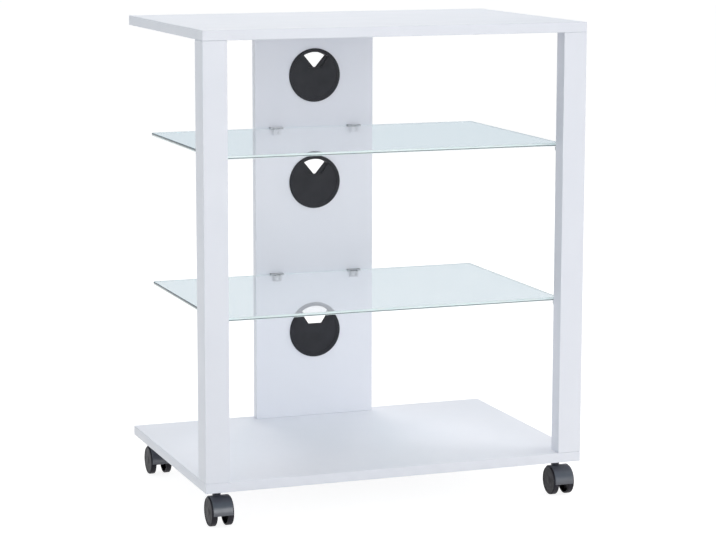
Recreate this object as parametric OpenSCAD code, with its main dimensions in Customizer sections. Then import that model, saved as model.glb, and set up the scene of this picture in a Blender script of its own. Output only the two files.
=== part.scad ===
// Television stand on four twin-wheel casters.
// Two boards are joined by two front posts and one rear panel, with two glass shelves between.
// The front faces -Y, the floor is Z = 0 and the origin is under the middle of the stand.

/* [Carcass] */
// Width of the top and bottom boards
width = 600; // [480:10:900]
// Depth of the top and bottom boards
depth = 400; // [340:10:500]
// Height from the floor to the top surface
height = 727; // [655:1:900]
// Thickness of the top and bottom boards
board_t = 15; // [14:0.5:20]

/* [Front posts] */
// Width of a post, seen from the front
post_w = 37; // [34:1:50]
// Depth of a post along its outer side
post_d = 38; // [36:1:50]
// Width of the rebate in the inner back corner of a post
rebate_w = 11; // [9:0.5:12]
// Depth of the rebate in the inner back corner of a post
rebate_d = 12; // [10:0.5:14]

/* [Rear panel] */
// Width of the rear panel
panel_w = 200; // [180:5:300]
// Thickness of the rear panel
panel_t = 15; // [14:0.5:18]
// Distance of the rear panel from the back edge of the boards
panel_inset = 8; // [0:1:20]

/* [Glass shelves] */
// Thickness of a glass shelf
glass_t = 5; // [4:0.5:8]
// Clear height of the bay under the lower shelf
bay_low = 233; // [215:1:260]
// Clear height of the bay under the top board
bay_top = 168; // [150:1:200]
// Gap between the glass and the walls of the rebates
glass_gap = 1; // [0.5:0.1:2]
// Radius of the glass corners, seen from above
glass_corner_r = 4; // [1:0.5:8]

/* [Shelf clips] */
// Distance of a clip's middle from the side of the rear panel
clip_in = 34; // [15:1:44]
// Width of the lower jaw of a clip
clip_w = 12.5; // [10:0.5:16]
// Height of the lower jaw of a clip
clip_jaw_h = 9; // [8:0.5:12]
// Depth of the lower jaw of a clip
clip_jaw_d = 10; // [9:0.5:14]
// Thickness of the back plate of a clip
clip_back_t = 2.2; // [1.5:0.1:3]
// Width of the bar that holds the glass from above
clip_bar_w = 22; // [18:1:28]
// Thickness of the bar that holds the glass from above
clip_bar_t = 1.4; // [1:0.1:2]
// Reach of the bar over the glass
clip_bar_reach = 5; // [3:0.5:8]
// Thickness of the clip between the screw's head and the panel
clip_seat_t = 3.2; // [3:0.1:5]
// Thickness of the soft pads under the glass
pad_t = 1; // [0.6:0.1:2]
// Width of one pad
pad_w = 3.4; // [2:0.1:4]
// Length of one pad, front to back
pad_l = 6; // [4:0.5:8]
// Distance between the middles of the two pads of a clip
pad_pitch = 8; // [6:0.5:8.5]
// Distance of the pads from the back edge of the glass
pad_inset = 1; // [0.2:0.1:1.5]
// Diameter of the clip screw
clip_screw_d = 3; // [2.5:0.5:3.5]
// Diameter of the clip screw's head
clip_screw_head_d = 5.6; // [5:0.2:6]
// Thickness of the clip screw's head
clip_screw_head_t = 2; // [1.5:0.1:2.5]
// Length of the clip screw under its head
clip_screw_l = 14; // [10:1:15]

/* [Shelf pins] */
// Diameter of the pin's shank
pin_d = 5; // [4:0.5:6]
// Length of the shank inside the post
pin_in_post = 9; // [6:1:12]
// Diameter of the pin's head
pin_head_d = 6.4; // [5.4:0.2:7]
// Length of the pin's head
pin_head_l = 8; // [6:0.5:8]
// Wall of the soft sleeve on the pin's head
sleeve_t = 0.9; // [0.6:0.1:1.5]
// Length of the soft sleeve
sleeve_l = 6; // [4:0.5:6]

/* [Cable ports] */
// Distance of the top port below the top board
port_top_down = 85; // [60:1:110]
// Distance of the middle port below the upper shelf
port_middle_down = 84.5; // [60:0.5:160]
// Height of the bottom port above the bottom board
port_bottom_up = 140.5; // [60:0.5:160]
// Diameter of the hole in the panel
port_hole_d = 80; // [79:0.5:82]
// Diameter of the liner's bore
port_bore_d = 74; // [72:0.5:75]
// Diameter of the liner's flange
port_flange_d = 86; // [85:0.5:92]
// Thickness of the liner's flange
port_flange_t = 2.2; // [1.8:0.1:3]
// Length of the liner's barrel inside the panel
port_barrel_l = 14; // [10:0.5:14]
// Thickness of the cap
cap_t = 2; // [1.6:0.1:2.5]
// Depth of the cap behind the front of the flange
cap_recess = 0.4; // [0:0.1:1]
// Height of the window's straight edge above the middle of the cap
window_up = 12.4; // [12:0.2:16]
// Width of the window along its straight edge
window_w = 22.4; // [16:0.2:26]
// Slope of the window's sides from upright
window_deg = 33; // [20:1:40]
// Thickness of the shutter
shutter_t = 1.6; // [1.2:0.1:2.4]
// Height of the tip of the shutter's small notch above its middle
notch_up = 12.8; // [12.4:0.2:18]
// Radius of the tip of the small notch
notch_tip_r = 3.5; // [2:0.5:5]
// Slope of the small notch's sides from upright
notch_deg = 40; // [30:1:42]
// Spare around the window where the shutter is turned fully open
full_notch_spare = 0.6; // [0.3:0.1:1.5]
// Diameter of the stud that the shutter turns on
stud_d = 6; // [5:0.5:7]
// Diameter of the washer that keeps the shutter on the stud
washer_d = 12; // [10:0.5:14]
// Thickness of the washer
washer_t = 1.2; // [1:0.1:2]
// Distance of the stop pin from the middle of the stud
stop_r = 9; // [8:0.5:9.5]
// Diameter of the stop pin
stop_pin_d = 2.8; // [2:0.2:3]
// Turn of a shutter from the small notch to either stop, in degrees
shutter_travel = 90; // [90:1:95]
// Height of the bead that holds the cap in the liner
bead_out = 0.9; // [0.5:0.1:1.2]
// Turn of the three shutters as shown, top to bottom
shutter_turns = [0, 0, 90];

/* [Casters] */
// Height from the floor to the underside of the bottom board
caster_h = 54; // [52:1:60]
// Distance of a caster's stem from the side edge of the board
caster_in_x = 26.3; // [22:0.1:80]
// Distance of a caster's stem from the front or back edge of the board
caster_in_y = 34; // [32:0.5:80]
// Distance from the stem's axis to the wheels' axle
trail = 12.7; // [10.5:0.1:13.5]
// Diameter of a wheel
wheel_d = 44; // [40:1:46]
// Width of a wheel
wheel_w = 8.8; // [8:0.2:12]
// Width of the hood's web between the wheels
web_w = 15.8; // [14:0.2:18]
// Width of the hood over the wheels
hood_w = 30; // [28:0.5:34]
// Wall of the hood over the wheels
hood_wall = 0.8; // [0.8:0.1:2]
// Gap between the hood and the wheels' treads
hood_gap = 0.5; // [0.4:0.1:1]
// Fall of the hood's front edge below the axle, in degrees
hood_front_deg = 6; // [0:1:20]
// Rise of the hood's back edge above the axle, in degrees
hood_back_deg = 20; // [5:1:40]
// Diameter of the web around the axle
hood_hub_d = 18; // [12:1:20]
// Diameter of the hood's neck around the stem
neck_d = 12.5; // [11.5:0.5:14]
// Diameter of the stem
stem_d = 8; // [7:0.5:8]
// Thickness of the neck under the stem
neck_floor_t = 5; // [3:0.5:6]
// Length of the stem inside the hood
stem_in_hood = 26; // [20:1:27]
// Length of the stem inside the socket
stem_in_socket = 11; // [9:0.5:11]
// Diameter of the socket's barrel
socket_d = 11; // [10:0.5:12]
// Diameter of the socket's flange
socket_flange_d = 16; // [14:0.5:18]
// Thickness of the socket's flange
socket_flange_t = 1.6; // [1.2:0.1:2.5]
// Thickness of the socket's closed end
socket_end_t = 1; // [0.6:0.1:1.4]
// Diameter of the axle
axle_d = 5; // [4:0.5:6]
// Length of the axle inside each wheel
axle_in_wheel = 6.8; // [5:0.2:7]
// Diameter of a wheel's hub
wheel_hub_d = 10; // [9:0.5:14]
// Thickness of a wheel's rim
wheel_rim_t = 2.4; // [1.6:0.2:4]
// Thickness of a wheel's outer disc
wheel_disc_t = 2.4; // [2:0.2:3.4]
// Chamfer of a wheel's edges
wheel_edge = 0.8; // [0.2:0.1:1.2]

/* [Joinery] */
// Diameter of a wooden dowel
dowel_d = 8; // [6:1:8]
// Length of a wooden dowel
dowel_l = 30; // [25:1:40]
// Length of a dowel inside a board
dowel_in_board = 10; // [8:0.5:11]
// Diameter of a cam disc
cam_d = 15; // [12:0.5:15]
// Thickness of a cam disc
cam_t = 12; // [11:0.5:12.5]
// Distance of a cam disc's middle from the end of its post or panel
cam_up = 24; // [20:1:34]
// Distance of a cam bolt's axis from the back face of its post or panel
bolt_in = 7.5; // [7:0.1:8]
// Diameter of a cam bolt's shank
bolt_d = 5; // [4:0.5:5.5]
// Diameter of a cam bolt's head
bolt_head_d = 6.6; // [6:0.1:7]
// Length of a cam bolt's head
bolt_head_l = 4; // [3:0.5:5]
// Length of a cam bolt inside a board
bolt_in_board = 10; // [8:0.5:11]
// Distance of the panel's dowels from its middle
panel_dowel_x = 82; // [75:1:84]
// Distance of the panel's cams from its middle
panel_cam_x = 55; // [45:1:60]

/* [Clearances] */
// Gap around a pin, barrel or thread that is pressed or screwed in
fit_gap = 0.05; // [0.03:0.01:0.1]
// Gap around a shaft that turns in its bore
run_gap = 0.05; // [0.03:0.01:0.1]
// Gap between the faces of parts that move past each other
slide_gap = 0.3; // [0.2:0.05:0.5]
// Spare depth at the end of a blind hole
hole_spare = 0.5; // [0.2:0.1:1]

/* [Hidden] */
$fn = 96;
// Extra length that takes a cut clear through a face
cut = 1;
post_h = height - 2 * board_t - caster_h;
bottom_top_z = caster_h + board_t;
top_under_z = height - board_t;
lower_glass_z = bottom_top_z + bay_low;
upper_glass_z = top_under_z - bay_top - glass_t;
left_x = -width / 2;

// The casters' hoods stand out in front of the boards, so the boards sit back from the origin
axle_z = wheel_d / 2;
hood_in_r = wheel_d / 2 + hood_gap;
hood_out_r = hood_in_r + hood_wall;
overhang = max(0, hood_out_r + trail - caster_in_y);
front_y = (overhang - depth) / 2;
back_y = front_y + depth;
panel_back_y = back_y - panel_inset;
panel_front_y = panel_back_y - panel_t;

// Glass outline, from the walls of the rebates to the back plates of the clips
glass_half_w = width / 2 - post_w + rebate_w - glass_gap;
glass_front_y = front_y + post_d - rebate_d + glass_gap;
glass_back_y = panel_front_y - clip_back_t - slide_gap;
clip_x = panel_w / 2 - clip_in;

// Places across a post where it is fixed to the boards
post_cam_x = (post_w - rebate_w) / 2;
post_cam_y = post_d - bolt_in;
post_dowel_y = (post_d - rebate_d) / 2;
post_dowel_x = [post_w / 4, post_w * 3 / 4];

// Heights of the ports
port_z = [top_under_z - port_top_down,
          upper_glass_z - port_middle_down,
          bottom_top_z + port_bottom_up];

// Layers of a port, counted back from the front of the panel
bore_r = port_bore_d / 2;
cap_front = cap_recess - port_flange_t;
cap_back = cap_front + cap_t;
bead_t = cap_t / 2;
bead_front = cap_front + (cap_t - bead_t) / 2;
bead_r = bore_r + bead_out - fit_gap;
cap_r = bore_r - 2 * fit_gap;
shutter_front = cap_back + slide_gap;
shutter_back = shutter_front + shutter_t;
washer_front = shutter_back + slide_gap;
stud_end = washer_front + washer_t + slide_gap;
shutter_r = bore_r - slide_gap;
stop_pin_r = stop_pin_d / 2;
stop_slot_half = shutter_travel + asin((stop_pin_r + slide_gap) / stop_r);

// Caster heights and widths
wheel_in_x = web_w / 2 + slide_gap;
neck_top_z = caster_h - socket_flange_t - slide_gap;
stem_bottom_z = neck_top_z - stem_in_hood;
socket_barrel_l = stem_in_socket + slide_gap + socket_end_t;

// The four corners, as signs along X and Y
front_left = [-1, -1];
front_right = [1, -1];
rear_left = [-1, 1];
rear_right = [1, 1];
corners = [front_left, front_right, rear_left, rear_right];

// A disc along Y whose front face is at y_front
module disc_y(r, t, y_front) {
    translate([0, y_front + t, 0])
        rotate([90, 0, 0])
            cylinder(r = r, h = t);
}

// An outline drawn in X and Z, as a plate whose front face is at y_front
module plate_y(t, y_front) {
    translate([0, y_front + t, 0])
        rotate([90, 0, 0])
            linear_extrude(t)
                children();
}

// Children at each place where a post is joined to a board, for both posts
module at_post_joints(places) {
    for (side = [-1, 1], place = places)
        translate([side * (width / 2 - place[0]), front_y + place[1], 0])
            children();
}

// Children at each place where the panel is joined to a board
module at_panel_joints(x) {
    for (side = [-1, 1])
        translate([side * x, panel_back_y - bolt_in, 0])
            children();
}

// Children at every dowel
module at_dowels() {
    at_post_joints([for (x = post_dowel_x) [x, post_dowel_y]])
        children();
    at_panel_joints(panel_dowel_x)
        children();
}

// Children at every cam bolt
module at_bolts() {
    at_post_joints([[post_cam_x, post_cam_y]])
        children();
    at_panel_joints(panel_cam_x)
        children();
}

// Children twice: as they stand on the bottom joint, and turned over under the top board
module at_both_ends() {
    translate([0, 0, bottom_top_z])
        children();
    translate([0, 0, top_under_z])
        mirror([0, 0, 1])
            children();
}

// Dowel and bolt holes around one joint face at Z = 0, on the board's side and on the far side
module joint_holes() {
    at_dowels()
        translate([0, 0, -dowel_in_board - hole_spare])
            cylinder(r = dowel_d / 2 + fit_gap, h = dowel_l + 2 * hole_spare);
    at_bolts()
        translate([0, 0, -bolt_in_board - hole_spare])
            cylinder(r = bolt_d / 2 + fit_gap, h = bolt_in_board + hole_spare + cut);
    at_bolts()
        cylinder(r = bolt_head_d / 2 + 2 * fit_gap, h = cam_up);
    at_bolts()
        translate([0, bolt_in + cut, cam_up])
            rotate([90, 0, 0])
                cylinder(r = cam_d / 2 + fit_gap, h = cam_t + cut);
}

module board(z) {
    translate([left_x, front_y, z])
        cube([width, depth, board_t]);
}

module top_board() {
    color("whitesmoke")
        difference() {
            board(top_under_z);
            at_both_ends()
                joint_holes();
        }
}

module bottom_board() {
    color("whitesmoke")
        difference() {
            board(caster_h);
            at_both_ends()
                joint_holes();
            for (corner = corners)
                at_stem(corner)
                    translate([0, 0, caster_h - cut])
                        cylinder(r = socket_d / 2 + fit_gap, h = cut + socket_barrel_l + hole_spare);
        }
}

// A post with a rebate in its inner back corner, at side -1 or 1
module post(side) {
    color("white")
        difference() {
            translate([side * width / 2, front_y, bottom_top_z])
                mirror([side > 0 ? 1 : 0, 0, 0])
                    linear_extrude(post_h)
                        difference() {
                            square([post_w, post_d]);
                            translate([post_w - rebate_w, post_d - rebate_d])
                                square([rebate_w + cut, rebate_d + cut]);
                        }
            at_both_ends()
                joint_holes();
            at_pins()
                translate([-pin_in_post - hole_spare, 0, 0])
                    rotate([0, 90, 0])
                        cylinder(r = pin_d / 2 + fit_gap, h = pin_in_post + hole_spare + cut);
        }
}

module rear_panel() {
    color("gainsboro")
        difference() {
            translate([-panel_w / 2, panel_front_y, bottom_top_z])
                cube([panel_w, panel_t, post_h]);
            at_both_ends()
                joint_holes();
            at_ports()
                disc_y(port_hole_d / 2, panel_t + 2 * cut, -cut);
            at_clips()
                disc_y(clip_screw_d / 2 + fit_gap, clip_screw_l + hole_spare, -clip_back_t);
        }
}

// A glass sheet with rounded corners, whose underside is at z
module glass_shelf(z) {
    color("lightcyan", 0.4)
        translate([0, 0, z])
            linear_extrude(glass_t)
                rounded_rectangle(-glass_half_w, glass_front_y, glass_half_w, glass_back_y, glass_corner_r);
}

module rounded_rectangle(x0, y0, x1, y1, r) {
    translate([x0 + r, y0])
        square([x1 - x0 - 2 * r, y1 - y0]);
    translate([x0, y0 + r])
        square([x1 - x0, y1 - y0 - 2 * r]);
    for (x = [x0 + r, x1 - r], y = [y0 + r, y1 - r])
        translate([x, y])
            circle(r);
}

module dowels() {
    color("burlywood")
        at_both_ends()
            at_dowels()
                translate([0, 0, -dowel_in_board])
                    cylinder(d = dowel_d, h = dowel_l);
}

// Bolts screwed into the boards, with heads that the cam discs grip
module cam_bolts() {
    color("silver")
        at_both_ends()
            at_bolts() {
                translate([0, 0, -bolt_in_board])
                    cylinder(d = bolt_d, h = bolt_in_board + cam_up);
                translate([0, 0, cam_up - bolt_head_l / 2])
                    cylinder(d = bolt_head_d, h = bolt_head_l);
            }
}

// Discs let into the back faces of the posts and the panel, with a screwdriver cross
module cam_discs() {
    cross_w = cam_d / 10;
    cross_l = cam_d * 0.6;
    cross_deep = 1.5;
    grip_h = cam_d / 2 + bolt_head_l / 2 + slide_gap;
    color("darkgray")
        at_both_ends()
            at_bolts()
                difference() {
                    translate([0, bolt_in, cam_up])
                        rotate([90, 0, 0])
                            cylinder(d = cam_d, h = cam_t);
                    translate([0, 0, cam_up - cam_d / 2 - cut])
                        cylinder(r = bolt_head_d / 2 + 2 * fit_gap, h = grip_h + cut);
                    for (turn = [45, 135])
                        translate([0, bolt_in, cam_up])
                            rotate([0, turn, 0])
                                cube([cross_l, 2 * cross_deep, cross_w], center = true);
                }
}

// Children at the foot of each clip: the middle of the panel's front face, level with the screw
module at_clips(places = [for (x = [-1, 1], z = [lower_glass_z, upper_glass_z]) [x, z]]) {
    for (place = places)
        translate([place[0] * clip_x, panel_front_y, place[1] - pad_t - clip_jaw_h / 2])
            children();
}

// A shelf clip: a jaw under the glass, a plate behind it and a bar over it
module clip(side, z) {
    jaw_top = clip_jaw_h / 2;
    bar_z = jaw_top + pad_t + glass_t + 2 * fit_gap;
    bar_l = clip_back_t + slide_gap + clip_bar_reach;
    head_hole_r = clip_screw_head_d / 2 + 2 * fit_gap;
    color("silver")
        at_clips([[side, z]])
            difference() {
                union() {
                    translate([-clip_w / 2, -clip_jaw_d, -jaw_top])
                        cube([clip_w, clip_jaw_d, clip_jaw_h]);
                    translate([-clip_w / 2, -clip_back_t, -jaw_top])
                        cube([clip_w, clip_back_t, jaw_top + bar_z + clip_bar_t]);
                    translate([-clip_bar_w / 2, -bar_l, bar_z])
                        cube([clip_bar_w, bar_l, clip_bar_t]);
                }
                disc_y(clip_screw_d / 2 + fit_gap, clip_jaw_d + 2 * cut, -clip_jaw_d - cut);
                disc_y(head_hole_r, clip_jaw_d - clip_seat_t + cut, -clip_jaw_d - cut);
            }
}

module clip_pads() {
    pad_front = glass_back_y - panel_front_y - pad_inset - pad_l;
    color("dimgray")
        at_clips()
            for (side = [-1, 1])
                translate([side * pad_pitch / 2 - pad_w / 2, pad_front, clip_jaw_h / 2])
                    cube([pad_w, pad_l, pad_t]);
}

module clip_screws() {
    cross_l = clip_screw_head_d / 2;
    cross_w = clip_screw_head_d / 8;
    color("gray")
        at_clips()
            difference() {
                union() {
                    disc_y(clip_screw_d / 2, clip_screw_l, -clip_seat_t);
                    disc_y(clip_screw_head_d / 2, clip_screw_head_t, -clip_seat_t - clip_screw_head_t);
                }
                for (turn = [0, 90])
                    translate([0, -clip_seat_t - clip_screw_head_t, 0])
                        rotate([0, turn, 0])
                            cube([cross_l, clip_screw_head_t, cross_w], center = true);
            }
}

// Children at the mouth of each pin's hole, with the pin along +X of the left post
module at_pins() {
    pin_z = pin_head_d / 2 + sleeve_t + 2 * fit_gap;
    for (side = [0, 1], z = [lower_glass_z, upper_glass_z])
        mirror([side, 0, 0])
            translate([left_x + post_w - rebate_w, front_y + post_d - rebate_d / 2, z - pin_z])
                children();
}

module shelf_pins() {
    color("silver")
        at_pins() {
            translate([-pin_in_post, 0, 0])
                rotate([0, 90, 0])
                    cylinder(d = pin_d, h = pin_in_post + pin_head_l);
            rotate([0, 90, 0])
                cylinder(d = pin_head_d, h = pin_head_l);
        }
}

module pin_sleeves() {
    color("white", 0.6)
        at_pins()
            translate([(pin_head_l - sleeve_l) / 2, 0, 0])
                rotate([0, 90, 0])
                    difference() {
                        cylinder(r = pin_head_d / 2 + sleeve_t, h = sleeve_l);
                        translate([0, 0, -cut])
                            cylinder(r = pin_head_d / 2 + fit_gap, h = sleeve_l + 2 * cut);
                    }
}

// Children at the middle of one port on the front face of the panel, or of all three
module at_ports(levels = [0, 1, 2]) {
    for (level = levels)
        translate([0, panel_front_y, port_z[level]])
            children();
}

// The fixed ring that lines the hole, with a groove that holds the cap
module port_liner(level) {
    color("darkslategray")
        at_ports([level])
            difference() {
                union() {
                    disc_y(port_flange_d / 2, port_flange_t, -port_flange_t);
                    disc_y(port_hole_d / 2 - fit_gap, port_barrel_l, 0);
                }
                disc_y(bore_r, port_flange_t + port_barrel_l + 2 * cut, -port_flange_t - cut);
                disc_y(bead_r + 2 * fit_gap, bead_t + 2 * fit_gap, bead_front - fit_gap);
            }
}

// The window of the cap, open to its rim, grown by spare on every side
module window_outline(spare = 0) {
    low = window_up - spare;
    high = bead_r + cut;
    half = window_w / 2 + spare / cos(window_deg) - spare * tan(window_deg);
    reach = half + (high - low) * tan(window_deg);
    polygon([[-half, low], [half, low], [reach, high], [-reach, high]]);
}

// The small notch of the shutter, open to its rim
module notch_outline() {
    middle = notch_up + notch_tip_r;
    edge_x = notch_tip_r * cos(notch_deg);
    edge_y = middle - notch_tip_r * sin(notch_deg);
    high = bore_r + cut;
    reach = edge_x + (high - edge_y) * tan(notch_deg);
    translate([0, middle])
        circle(notch_tip_r);
    polygon([[-edge_x, edge_y], [edge_x, edge_y], [reach, high], [-reach, high]]);
}

// The cap that faces the room, with the stud and the stop pin on its back
module port_cap(level) {
    color("darkslategray")
        at_ports([level])
            difference() {
                union() {
                    disc_y(cap_r, cap_t, cap_front);
                    disc_y(bead_r, bead_t, bead_front);
                    disc_y(stud_d / 2, stud_end - cap_back + cut, cap_back - cut);
                    translate([0, 0, -stop_r])
                        disc_y(stop_pin_r, shutter_back - cap_back + cut, cap_back - cut);
                }
                plate_y(cap_t + 2 * cut, cap_front - cut)
                    window_outline();
            }
}

// The turning shutter: a small notch at the top, a full one at the side, and a slot for the stop pin
module port_shutter(level) {
    color("dimgray")
        at_ports([level])
            rotate([0, shutter_turns[level], 0])
                plate_y(shutter_t, shutter_front)
                    difference() {
                        circle(shutter_r);
                        circle(stud_d / 2 + run_gap);
                        notch_outline();
                        rotate(90)
                            window_outline(full_notch_spare);
                        stop_slot();
                    }
}

// The curved slot around the shutter's middle, with its own middle at the bottom
module stop_slot() {
    inner = stop_r - stop_pin_r - slide_gap;
    outer = stop_r + stop_pin_r + slide_gap;
    reach = 2 * outer;
    steps = 8;
    difference() {
        intersection() {
            circle(outer);
            polygon([[0, 0], for (i = [0:steps])
                let (a = -90 - stop_slot_half + 2 * stop_slot_half * i / steps)
                    [reach * cos(a), reach * sin(a)]]);
        }
        circle(inner);
    }
}

module port_washers() {
    color("silver")
        at_ports()
            difference() {
                disc_y(washer_d / 2, washer_t, washer_front);
                disc_y(stud_d / 2 + fit_gap, washer_t + 2 * cut, washer_front - cut);
            }
}

// Children on the floor under a caster's stem
module at_stem(corner) {
    stem_y = corner[1] < 0 ? front_y + caster_in_y : back_y - caster_in_y;
    translate([corner[0] * (width / 2 - caster_in_x), stem_y, 0])
        children();
}

// Children at the middle of a caster's axle
module at_axle(corner) {
    at_stem(corner)
        translate([0, -trail, axle_z])
            children();
}

module caster_sockets() {
    bore_l = socket_flange_t + stem_in_socket + slide_gap;
    color("dimgray")
        for (corner = corners)
            at_stem(corner)
                difference() {
                    union() {
                        translate([0, 0, caster_h - socket_flange_t])
                            cylinder(d = socket_flange_d, h = socket_flange_t);
                        translate([0, 0, caster_h - cut])
                            cylinder(d = socket_d, h = cut + socket_barrel_l);
                    }
                    translate([0, 0, caster_h - socket_flange_t - cut])
                        cylinder(r = stem_d / 2 + run_gap, h = bore_l + cut);
                }
}

module stem(corner) {
    color("silver")
        at_stem(corner)
            translate([0, 0, stem_bottom_z])
                cylinder(d = stem_d, h = caster_h + stem_in_socket - stem_bottom_z);
}

// A part of the hood's side view, drawn in Y and Z about the axle, as a slab of width w
module side_slab(w) {
    translate([-w / 2, 0, 0])
        rotate([90, 0, 90])
            linear_extrude(w)
                children();
}

// The fan that the hood covers, from its back edge over the top to its front edge
module hood_fan() {
    reach = 2 * hood_out_r;
    steps = 8;
    polygon([[0, 0], for (i = [0:steps])
        let (a = hood_back_deg + (180 + hood_front_deg - hood_back_deg) * i / steps)
            [reach * cos(a), reach * sin(a)]]);
}

module hood(corner) {
    neck_h = neck_top_z - stem_bottom_z;
    color("dimgray")
        at_axle(corner)
            difference() {
                union() {
                    side_slab(hood_w)
                        difference() {
                            intersection() {
                                circle(hood_out_r);
                                hood_fan();
                            }
                            circle(hood_in_r);
                        }
                    side_slab(web_w) {
                        intersection() {
                            circle(hood_out_r);
                            hood_fan();
                        }
                        circle(hood_hub_d / 2);
                    }
                    translate([0, trail, stem_bottom_z - axle_z - neck_floor_t])
                        cylinder(d = neck_d, h = neck_h + neck_floor_t);
                }
                translate([-hood_w / 2, 0, 0])
                    rotate([0, 90, 0])
                        cylinder(r = axle_d / 2 + fit_gap, h = hood_w);
                translate([0, trail, stem_bottom_z - axle_z])
                    cylinder(r = stem_d / 2 + fit_gap, h = neck_h + cut);
            }
}

module axle(corner) {
    length = 2 * (wheel_in_x + axle_in_wheel);
    color("silver")
        at_axle(corner)
            translate([-length / 2, 0, 0])
                rotate([0, 90, 0])
                    cylinder(d = axle_d, h = length);
}

// A wheel with a blind bore and a hollow on its inner side; side is -1 or 1 along X
module wheel(corner, side) {
    tread_r = wheel_d / 2;
    inner_r = tread_r - wheel_rim_t;
    edge_r = tread_r - wheel_edge;
    bore_r = axle_d / 2 + run_gap;
    bore_l = axle_in_wheel + slide_gap;
    floor_x = wheel_w - wheel_disc_t;
    color("darkslategray")
        at_axle(corner)
            mirror([side > 0 ? 0 : 1, 0, 0])
                translate([wheel_in_x, 0, 0])
                    rotate([0, 90, 0])
                        rotate_extrude()
                            polygon([[0, bore_l],
                                     [bore_r, bore_l],
                                     [bore_r, 0],
                                     [wheel_hub_d / 2, 0],
                                     [wheel_hub_d / 2, floor_x],
                                     [inner_r, floor_x],
                                     [inner_r, 0],
                                     [edge_r, 0],
                                     [tread_r, wheel_edge],
                                     [tread_r, wheel_w - wheel_edge],
                                     [edge_r, wheel_w],
                                     [0, wheel_w]]);
}

// The wheel of a caster that is nearer the side of the stand
module outer_wheel(corner) {
    wheel(corner, corner[0]);
}

// The wheel of a caster that is nearer the middle of the stand
module inner_wheel(corner) {
    wheel(corner, -corner[0]);
}

top_board();
bottom_board();
post(-1);  // post_left
post(1);  // post_right
rear_panel();
glass_shelf(upper_glass_z);  // glass_shelf_upper
glass_shelf(lower_glass_z);  // glass_shelf_lower
dowels();
cam_bolts();
cam_discs();
clip(-1, upper_glass_z);  // clip_upper_left
clip(1, upper_glass_z);  // clip_upper_right
clip(-1, lower_glass_z);  // clip_lower_left
clip(1, lower_glass_z);  // clip_lower_right
clip_pads();
clip_screws();
shelf_pins();
pin_sleeves();
port_liner(0);  // port_liner_top
port_liner(1);  // port_liner_middle
port_liner(2);  // port_liner_bottom
port_cap(0);  // port_cap_top
port_cap(1);  // port_cap_middle
port_cap(2);  // port_cap_bottom
port_shutter(0);  // port_shutter_top
port_shutter(1);  // port_shutter_middle
port_shutter(2);  // port_shutter_bottom
port_washers();
caster_sockets();
stem(front_left);  // stem_front_left
stem(front_right);  // stem_front_right
stem(rear_left);  // stem_rear_left
stem(rear_right);  // stem_rear_right
hood(front_left);  // hood_front_left
hood(front_right);  // hood_front_right
hood(rear_left);  // hood_rear_left
hood(rear_right);  // hood_rear_right
axle(front_left);  // axle_front_left
axle(front_right);  // axle_front_right
axle(rear_left);  // axle_rear_left
axle(rear_right);  // axle_rear_right
outer_wheel(front_left);  // wheel_outer_front_left
outer_wheel(front_right);  // wheel_outer_front_right
outer_wheel(rear_left);  // wheel_outer_rear_left
outer_wheel(rear_right);  // wheel_outer_rear_right
inner_wheel(front_left);  // wheel_inner_front_left
inner_wheel(front_right);  // wheel_inner_front_right
inner_wheel(rear_left);  // wheel_inner_rear_left
inner_wheel(rear_right);  // wheel_inner_rear_right
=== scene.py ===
# %% [markdown]
# # A television stand in white board, clear glass and black plastic
# The measured model of the stand comes in first, with every piece already at its true size and place. This
# lesson then gives each visible piece its soft edges, its moulded details and its finish. Lengths are in
# metres. The front of the stand faces -Y, and the floor is Z = 0.

# %% Load the measured model
import math

import bpy
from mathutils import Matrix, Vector


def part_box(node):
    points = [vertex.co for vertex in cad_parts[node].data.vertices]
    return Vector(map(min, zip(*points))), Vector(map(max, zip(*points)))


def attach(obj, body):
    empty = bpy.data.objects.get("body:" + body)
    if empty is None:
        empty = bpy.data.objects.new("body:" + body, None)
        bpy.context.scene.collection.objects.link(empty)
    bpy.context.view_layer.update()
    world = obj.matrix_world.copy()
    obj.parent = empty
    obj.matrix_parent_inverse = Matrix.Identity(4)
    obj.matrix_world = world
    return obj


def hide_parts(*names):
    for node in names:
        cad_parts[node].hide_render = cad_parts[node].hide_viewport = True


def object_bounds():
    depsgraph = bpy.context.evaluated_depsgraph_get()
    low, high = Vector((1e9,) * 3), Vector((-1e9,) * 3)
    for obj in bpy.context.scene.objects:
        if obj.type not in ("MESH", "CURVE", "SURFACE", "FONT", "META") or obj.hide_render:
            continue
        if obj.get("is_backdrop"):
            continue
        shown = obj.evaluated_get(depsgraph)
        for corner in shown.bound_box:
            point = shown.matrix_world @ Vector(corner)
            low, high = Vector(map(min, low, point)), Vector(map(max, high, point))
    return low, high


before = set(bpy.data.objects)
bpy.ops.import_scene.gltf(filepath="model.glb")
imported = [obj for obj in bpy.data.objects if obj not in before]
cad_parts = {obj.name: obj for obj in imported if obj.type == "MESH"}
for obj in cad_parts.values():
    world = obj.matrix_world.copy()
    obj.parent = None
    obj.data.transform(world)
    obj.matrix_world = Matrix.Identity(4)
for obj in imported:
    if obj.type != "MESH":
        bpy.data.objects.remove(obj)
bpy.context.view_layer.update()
mm = 0.001

# %% [markdown]
# ## Camera
# The picture shows upright edges that stay parallel, seen through a long lens from a few metres away. A
# level camera with a large vertical shift would do just that, but the shift would also push the stand out
# of every other view. So the camera, a little above the top board, is tipped down by nine degrees instead,
# and the edges come out nearly parallel. The small sideways shift puts the stand left of the middle of the
# view.

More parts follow.
